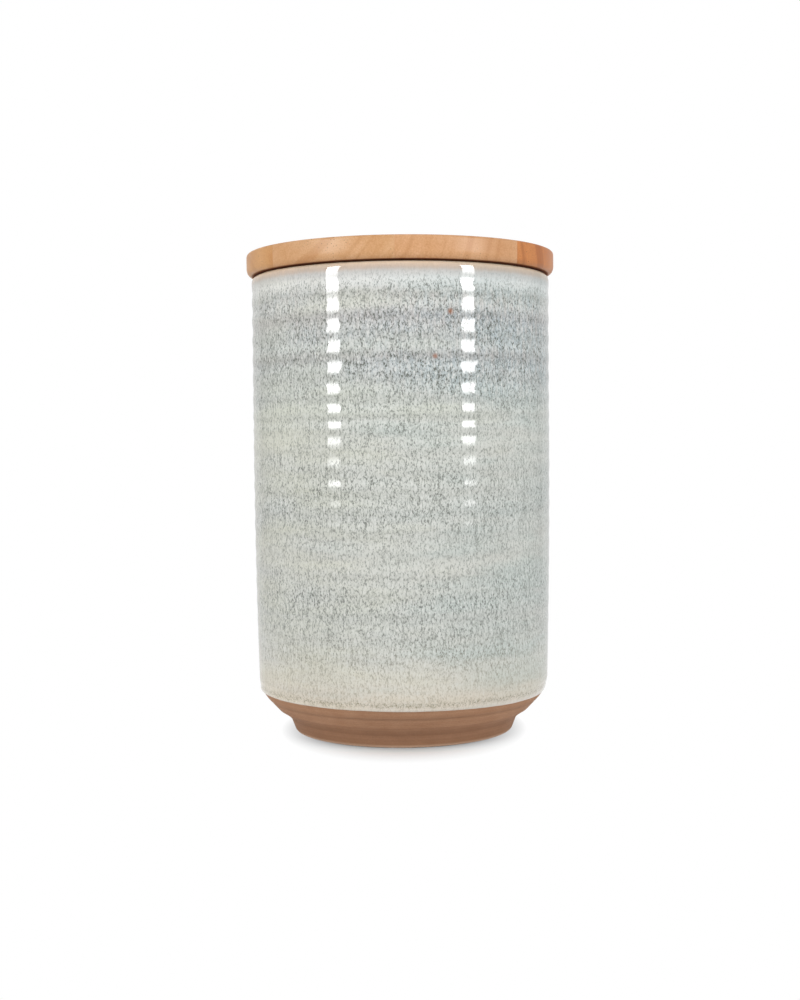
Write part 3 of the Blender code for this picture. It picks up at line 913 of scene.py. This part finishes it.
def oiled_rubberwood(name, tones, pith, late_share=0.2, heart=80.0):
    """Rubberwood with a satin oil: rings round the pith, fibres and pores along Y."""
    material, tree, shader, here = surface_of(name)
    axes = add(tree, "SeparateXYZ", here).outputs
    offset = Vector((-pith[0], 37.0 * len(name), -pith[1])) * MM
    place = add(tree, "Mapping", here, offset)

    # Growth rings that sway, fibres, pores and patches
    sway = add(tree, "TexNoise", place, 1 / (RING_SWAY[0] * MM), 2.0)
    radius = reach(tree, place, ROUND_PITH)
    radius = add(tree, "Math.MULTIPLY_ADD", sway, RING_SWAY[1] * MM, radius)
    rings = add(tree, "TexNoise", radius, 1 / (RING_SPACING * MM), 2.0, noise_dimensions="1D")
    fibre = drawn_out(tree, place, FIBRES, 2.0, axis=LENGTHWAYS)
    pore = drawn_out(tree, place, PORES, kind="TexVoronoi", axis=LENGTHWAYS)
    pore = add(tree, "MapRange", pore, 0.22, 0.10)
    cloud = add(tree, "TexNoise", place, 1 / (CLOUD_GRAIN * MM), 2.0)

    # Tone: early and late wood, the heartwood's edge and the pores
    tone = add(tree, "Math.MULTIPLY", rings, 0.15)
    tone = add(tree, "Math.MULTIPLY_ADD", fibre, 0.37, tone)
    tone = add(tree, "Math.MULTIPLY_ADD", cloud, 0.48, tone)
    tone = add(tree, "ValToRGB", tone, stops=[(0.36, tones[0]), (0.64, tones[1])])
    late = add(tree, "MapRange", rings, 0.44, 0.28, 0.0, late_share)
    inner = add(tree, "MapRange", axes["X"], (heart - 2) * MM, (heart + 2) * MM, 0.0, 0.14)
    late = add(tree, "Math.ADD", late, inner, use_clamp=True)
    tone = add(tree, "Mix", late, tone, tones[3], data_type="RGBA")
    patches = add(tree, "MapRange", cloud, 0.48, 0.62, 0.0, 0.7)
    faint = add(tree, "Math.MULTIPLY", pore, patches)
    tone = add(tree, "Mix", faint, tone, tones[2], data_type="RGBA")

    # Painted shade: a dark band along the lowest arris, where the lid meets the jar
    oiled = add(tree, "Math.SUBTRACT", axes["Z"], ARRIS_SHADE_LEVEL * MM)
    oiled = add(tree, "Math.ABSOLUTE", oiled)
    oiled = add(tree, "MapRange", oiled, *metres(ARRIS_SHADE_HEIGHT))
    outer = add(tree, "MapRange", reach(tree, here), *metres(ARRIS_SHADE_RADIUS))
    oiled = add(tree, "Math.MULTIPLY", oiled, outer)
    tone = add(tree, "Mix", oiled, tone, "642C0C", data_type="RGBA")

    # Sheen: uneven along the fibres, duller on the flat top, and none under the painted shade
    sheen = add(tree, "MapRange", fibre, 0.3, 0.7, 0.30, 0.44)
    up = add(tree, "NewGeometry").outputs["Normal"]
    up = add(tree, "SeparateXYZ", up).outputs["Z"]
    flat = add(tree, "MapRange", up, 0.6, 1.0, 0.0, TOP_DULLNESS)
    sheen = add(tree, "Math.ADD", sheen, flat)
    sheen = add(tree, "Math.MAXIMUM", sheen, oiled)
    relief = add(tree, "Math.SUBTRACT", fibre, pore)
    bump = add(tree, "Bump", 0.2, 0.05 * MM, named={"Height": relief})
    feed(shader, {"Base Color": tone, "Roughness": sheen, "IOR": 1.42, "Normal": bump})
    return material


# %% [markdown]
# ## The lid's boards
#
# A turner glues the boards first and turns the round panel afterwards, so the grain of each
# board stops at its joint while the edge runs on without a step. The mesh is made in the same
# order: the whole disc is turned on the wheel, and each board is what two cuts leave of it.
# Below its edge the disc is undercut a little, so that it can't rock on the rim, and that
# leaves a dark line of real shade between lid and jar, which painted shade on the arris deepens.

# %% Make the boards
LID_TOP_EDGE = 1.2
LID_LOWER_EDGE = 3.0
GLUE_LINE = 0.02
UNDERCUT_RADIUS = 50.5
UNDERCUT_RISE = 0.35

# The wood's two tones, its pores and its late wood
BOARD_TONES = {
    1: ("C6773C", "DD9152", "74401F", "A65C2C"),
    2: ("D79B67", "EEBC8F", "7E4B29", "C07B42"),
    3: ("D69C66", "EBBC8E", "7E4B29", "C27F47"),
    4: ("D39559", "E6B178", "7E4B29", "BE7C46"),
}
BOARD_PITHS = {1: (150.0, 196.0), 2: (-70.0, 212.0), 3: (-90.0, 260.0), 4: (-95.0, 150.0)}
LATE_WOOD = {1: {"late_share": 0.45}, 2: {"late_share": 0.16, "heart": 31.0}}


def lid_disc():
    """Outline of the lid's disc, from the middle of its top round its edge to below."""
    top, bottom = (0.0, LID_TOP), (0.0, LID_SEAT)
    upper, lower = (LID_RADIUS, LID_TOP), (LID_RADIUS, LID_SEAT + UNDERCUT_RISE)
    undercut = (UNDERCUT_RADIUS, LID_SEAT)
    line = [top] + rounded(top, upper, lower, LID_TOP_EDGE)
    return line + rounded(upper, lower, undercut, LID_LOWER_EDGE) + [undercut, bottom]


def cut_board(number, left, right):
    """One board of the lid: the disc between two upright cuts."""
    name = "red" if number == 1 else "pale"
    name = f"{name} oiled rubberwood {number}"
    late = LATE_WOOD.get(number, {})
    wood = oiled_rubberwood(name, BOARD_TONES[number], BOARD_PITHS[number], **late)
    board = turned(f"board_{number}", lid_disc(), wood)
    work = bmesh.new()
    work.from_mesh(board.data)
    for place, away in ((left, -1.0), (right, 1.0)):
        if abs(place) < LID_RADIUS:
            whole = work.verts[:] + work.edges[:] + work.faces[:]
            cut = {"plane_co": (place * MM, 0.0, 0.0), "plane_no": (away, 0.0, 0.0)}
            made = bmesh.ops.bisect_plane(work, geom=whole, clear_outer=True, **cut)
            rim = [part for part in made["geom_cut"] if isinstance(part, bmesh.types.BMEdge)]
            bmesh.ops.contextual_create(work, geom=rim)
    work.to_mesh(board.data)
    work.free()
    board.data.set_sharp_from_angle(angle=SHARP_ANGLE)
    report(board)
    return board


spans = {number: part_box(f"lid_board_{number}") for number in BOARD_TONES}
joints = [(spans[n][0].x + spans[n + 1][1].x) / 2 / MM for n in (1, 2, 3)]
print("joints at", [round(joint, 2) for joint in joints], "mm")
ends = [2 * LID_RADIUS] + joints + [-2 * LID_RADIUS]
boards = {}
for number in BOARD_TONES:
    right, left = ends[number - 1] - GLUE_LINE / 2, ends[number] + GLUE_LINE / 2
    boards[number] = cut_board(number, left, right)

# %% [markdown]
# ## Plug and seal
#
# Below the disc a wooden plug enters the mouth, with a groove turned in its side. A silicone
# ring sits in the groove, and its soft lip reaches towards the bore. Silicone is milky and a
# little see-through, with a waxy sheen, so the light goes some way into it.

# %% Material: silicone
SILICONE_HAZE = 6.0
LIGHT_DEPTH = 1.0


def silicone():
    """Moulded silicone: milky, soft sheen, light goes a little way in."""
    material, tree, shader, place = surface_of("milky silicone")
    haze = add(tree, "TexNoise", place, 1 / (SILICONE_HAZE * MM), 2.0)
    milk = add(tree, "ValToRGB", haze, stops=[(0.35, "D2D0C8"), (0.65, "DEDCD5")])
    skin = add(tree, "MapRange", haze, 0.3, 0.7, 0.32, 0.42)
    feed(shader, {"Base Color": milk, "Roughness": skin, "IOR": 1.41})
    feed(shader, {"Subsurface Weight": 0.25, "Subsurface Radius": (1.0, 0.9, 0.8)})
    feed(shader, {"Subsurface Scale": LIGHT_DEPTH * MM})
    return material


# %% Make the plug and the seal
PLUG_EDGE = 1.0
PLUG_PITH = (20.0, 300.0)
GROOVE_TOP = 174.1
GROOVE_FOOT = 171.1
GROOVE_RADIUS = 46.85
SEAL_FIT = 0.1
LIP_ROOT = 0.3
LIP_THICKNESS = 0.8

groove_top, groove_foot = (PLUG_RADIUS, GROOVE_TOP), (PLUG_RADIUS, GROOVE_FOOT)
plug_foot, plug_middle = (PLUG_RADIUS, PLUG_FOOT), (0.0, PLUG_FOOT)
plug_outline = [(0.0, PLUG_TOP), (PLUG_RADIUS, PLUG_TOP), groove_top]
plug_outline += [(GROOVE_RADIUS, GROOVE_TOP), (GROOVE_RADIUS, GROOVE_FOOT), groove_foot]
plug_outline += rounded(groove_foot, plug_foot, plug_middle, PLUG_EDGE) + [plug_middle]
plug_wood = oiled_rubberwood("pale oiled rubberwood plug", BOARD_TONES[3], PLUG_PITH)
plug = turned("plug_disc", plug_outline, plug_wood)

seal_top, seal_foot = GROOVE_TOP - SEAL_FIT, GROOVE_FOOT + SEAL_FIT
tip, blunt = (SEAL_RADIUS, SEAL_TIP), (SEAL_RADIUS, SEAL_TIP - LIP_THICKNESS)
root = GROOVE_RADIUS + SEAL_FIT
bulge = PLUG_RADIUS + LIP_ROOT
seal_outline = [(root, seal_top)]
seal_outline += bend((PLUG_RADIUS, seal_top), (bulge, seal_top), tip)
seal_outline += bend(blunt, (bulge, seal_foot), (PLUG_RADIUS, seal_foot))
seal_outline += [(root, seal_foot), (root, seal_top)]
seal = turned("seal_ring", seal_outline, silicone())

# %% [markdown]
# ## Stage, light and camera
#
# The photograph is a plain studio picture: a white ground, soft light from everywhere, and two
# tall narrow softboxes whose reflections stand as bright strips on the glaze. The world gives
# the soft light. To the camera and to reflections it is white, so the ground has no horizon.
# The floor is white in the same way, but round the foot it is a plain pale floor that catches
# the jar's shadow, with a painted shadow close to the clay, and that fades into the white a few
# centimetres out.

# %% Camera
IMAGE_HEIGHT = 1000
FOCAL_PIXELS = 1436
CAMERA_PLACE = (-0.79, -568.0, 111.8)
CAMERA_DOWN = math.radians(2.215)
CAMERA_ROLL = math.radians(0.52)
SENSOR = 36.0

camera = put("camera", bpy.data.cameras.new("camera"))
camera.data.sensor_width = SENSOR
camera.data.lens = SENSOR * FOCAL_PIXELS / IMAGE_HEIGHT
camera.data.clip_start = 0.01
tilt = Matrix.Rotation(math.radians(90) - CAMERA_DOWN, 4, "X")
roll = Matrix.Rotation(-CAMERA_ROLL, 4, "Z")
camera.matrix_world = Matrix.Translation(Vector(CAMERA_PLACE) * MM) @ tilt @ roll
bpy.context.scene.camera = camera
bpy.context.scene.view_settings.view_transform = "Standard"

# %% World
SOFT_LIGHT = 0.405
FRONT_SHARE = 0.2

world = bpy.data.worlds.new("studio")
world.use_nodes = True
bpy.context.scene.world = world
tree = world.node_tree
towards = add(tree, "TexCoord").outputs["Generated"]
towards = add(tree, "SeparateXYZ", towards).outputs["Y"]
soft = add(tree, "Math.MULTIPLY_ADD", towards, -SOFT_LIGHT * FRONT_SHARE, SOFT_LIGHT)
level = add(tree, "MapRange", seen(tree), 0.0, 1.0, soft, 1.0)
feed(tree.nodes["Background"], {"Color": WHITE, "Strength": level})

# %% [markdown]
# The strips on the glaze are as wide and as tall as the softboxes make them, so the sizes and
# angles here follow from where the strips stand in the photograph. A softbox has rounded
# corners and is dimmer at its foot. Both show on the jar, where the strips start with round
# tops and fade downwards, so the lamp's shader cuts and dims the light in the same way.

# %% Softboxes
STRIP_DISTANCE = 700.0
STRIP_WIDTH = 122.0
STRIP_FOOT = 90.0
STRIP_TOP = 515.0
STRIP_CORNER = 50.0
STRIP_RADIANCE = 15.0
STRIP_LEVELS = [(0.0, 0.09), (0.1, 0.2), (0.2, 0.5), (0.35, 0.85), (1.0, 1.0)]
STRIP_ANGLES = (-49.9, 50.2)

size = (STRIP_WIDTH, STRIP_TOP - STRIP_FOOT, 0.0)
half = [side / 2 for side in size]
for number, angle in enumerate(STRIP_ANGLES, start=1):
    lamp = bpy.data.lights.new(f"strip_{number}", "AREA")
    lamp.shape = "RECTANGLE"
    lamp.size = size[0] * MM
    lamp.size_y = size[1] * MM
    lamp.energy = STRIP_RADIANCE * math.pi * lamp.size * lamp.size_y
    lamp.use_nodes = True
    tree = lamp.node_tree
    share = add(tree, "NewGeometry").outputs["Parametric"]
    place = (share, size, [-side for side in half])
    place = add(tree, "VectorMath.MULTIPLY_ADD", *place)
    place = add(tree, "VectorMath.ABSOLUTE", place)
    inner = (half[0] - STRIP_CORNER, half[1] - STRIP_CORNER, 0.0)
    past = add(tree, "VectorMath.SUBTRACT", place, inner)
    past = add(tree, "VectorMath.MAXIMUM", past)
    inside_corner = add(tree, "Math.LESS_THAN", reach(tree, past), STRIP_CORNER)
    upwards = add(tree, "SeparateXYZ", share).outputs["Y"]
    fading = add(tree, "ValToRGB", upwards, stops=STRIP_LEVELS)
    lit = add(tree, "Math.MULTIPLY", inside_corner, fading)
    feed(tree.nodes["Emission"], {"Strength": lit})
    strip = put(f"strip_{number}", lamp)
    turn = math.radians(angle)
    centre = Vector((math.sin(turn), -math.cos(turn), 0.0)) * STRIP_DISTANCE
    centre.z = (STRIP_FOOT + STRIP_TOP) / 2
    strip.location = centre * MM
    strip.rotation_euler = (math.radians(90), 0.0, turn)

# %% [markdown]
# Against a white ground a glossy jar loses its outline, because its edges reflect the ground.
# A photographer stands a grey card behind the jar at either side, out of the picture. In the
# photograph the outline itself is a light grey strip, with a thin darker line just inside it,
# so the card is graded across its width: light at its far end, which the very edge of the jar
# reflects, darkest a little nearer, and fading out from there. The cards here are seen by
# reflections only, so they take no light from the jar.

# %% Grey cards
CARD_FAR = (77.0, 104.0)
CARD_NEAR = (182.0, -3.0)
CARD_LEVELS = [
    (0.0, 0.78),
    (0.41, 0.78),
    (0.48, 0.5),
    (0.54, 0.58),
    (0.62, 0.58),
    (0.7, 0.68),
    (0.88, 0.72),
    (1.0, 1.0),
]
CARD_HEIGHT = 300.0
CARD_FOOT = (20.0, 65.0)
CARD_FOOT_LEVEL = 0.85


def emptied(name):
    """A new material with an empty tree, its tree and its Object coordinates."""
    material, tree, _, _ = surface_of(name)
    tree.nodes.clear()
    return material, tree, add(tree, "TexCoord").outputs["Object"]


material, tree, place = emptied("grey card")
place = add(tree, "SeparateXYZ", place).outputs
across = add(tree, "MapRange", place["Y"], CARD_FAR[1] * MM, CARD_NEAR[1] * MM)
across = add(tree, "ValToRGB", across, stops=CARD_LEVELS)
shade = add(tree, "MapRange", place["Z"], *metres(CARD_FOOT), CARD_FOOT_LEVEL, across)
add(tree, "OutputMaterial", add(tree, "Emission", WHITE, shade))
for side, sign in (("left", -1.0), ("right", 1.0)):
    near, far = [Vector((sign * x, y, 0.0)) * MM for x, y in (CARD_NEAR, CARD_FAR)]
    up = Vector((0.0, 0.0, CARD_HEIGHT * MM))
    mesh = bpy.data.meshes.new(f"card_{side}")
    mesh.from_pydata([near, far, far + up, near + up], [], [(0, 1, 2, 3)])
    mesh.materials.append(material)
    card = put(f"card_{side}", mesh)
    for ray in ("camera", "diffuse", "transmission", "volume_scatter", "shadow"):
        setattr(card, f"visible_{ray}", False)

# %% [markdown]
# The floor is a pale surface round the foot, where it takes the jar's shadow, and it turns
# white in an oval round that. Close to the clay its colour is painted darker and bluer, a
# painted shadow that also stays neutral against the warm light that the clay throws on it.

# %% Floor
FLOOR_RADIUS = 3000.0
FLOOR_DROP = 0.05
FLOOR_GREY = (0.8, 0.8, 0.8, 1.0)
SHADOW_ACROSS = 50.0
SHADOW_ALONG = 70.0
SHADOW_FADE = (0.62, 0.97)
# Painted shadow: how far round the foot the floor's own colour is darkened, and its tones
PAINTED_SHADOW_REACH = (50.0, 72.0)
PAINTED_SHADOW_STRETCH = 1.4
PAINTED_SHADOW_TONES = [
    (0.0, "808A92"),
    (0.18, "A2ACB6"),
    (0.3, "BECBD2"),
    (0.45, "D4E3EB"),
    (0.64, "E8F7FF"),
    (0.82, "F3FFFF"),
    (1.0, "FFFFFF"),
]

mesh = bpy.data.meshes.new("floor")
work = bmesh.new()
bmesh.ops.create_circle(work, cap_ends=True, segments=64, radius=FLOOR_RADIUS * MM)
work.to_mesh(mesh)
work.free()
floor = put("floor", mesh)
floor.location.z = -FLOOR_DROP * MM

material, tree, place = emptied("pale floor")
away = reach(tree, place, (1 / (SHADOW_ACROSS * MM), 1 / (SHADOW_ALONG * MM), 0.0))
fade = add(tree, "MapRange", away, *SHADOW_FADE)
# Painted shadow: the floor's colour darker and bluer close to the foot
near = reach(tree, place, (1.0, PAINTED_SHADOW_STRETCH, 0.0))
near = add(tree, "MapRange", near, *metres(PAINTED_SHADOW_REACH))
near = add(tree, "ValToRGB", near, stops=PAINTED_SHADOW_TONES)
catcher = add(tree, "BsdfDiffuse", near)
white = add(tree, "Emission", WHITE, 1.0)
shown = add(tree, "MixShader", fade, catcher, white)
plain = add(tree, "BsdfDiffuse", FLOOR_GREY)
add(tree, "OutputMaterial", add(tree, "MixShader", seen(tree), plain, shown))
mesh.materials.append(material)

# %% [markdown]
# ## Bodies and solids
#
# Every piece is tied to the body that carries it, and the solid that it stands for is hidden,
# so that a joint can lift the whole lid in one move.

# %% Ride and replace
PLACES = [
    (clay_jar, "jar", "stoneware_body", "bare_stoneware"),
    (outer_coat, "jar", "outer_glaze", "speckled_glaze"),
    (liner_coat, "jar", "liner_glaze", "liner_glaze"),
    (plug, "lid", "lid_plug", "pale_wood"),
    (seal, "lid", "lid_seal", "silicone"),
]
for number, board in boards.items():
    slot = "red_wood" if number == 1 else "pale_wood"
    PLACES.append((board, "lid", f"lid_board_{number}", slot))
for piece, body, node, slot in PLACES:
    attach(piece, body)
    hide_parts(node)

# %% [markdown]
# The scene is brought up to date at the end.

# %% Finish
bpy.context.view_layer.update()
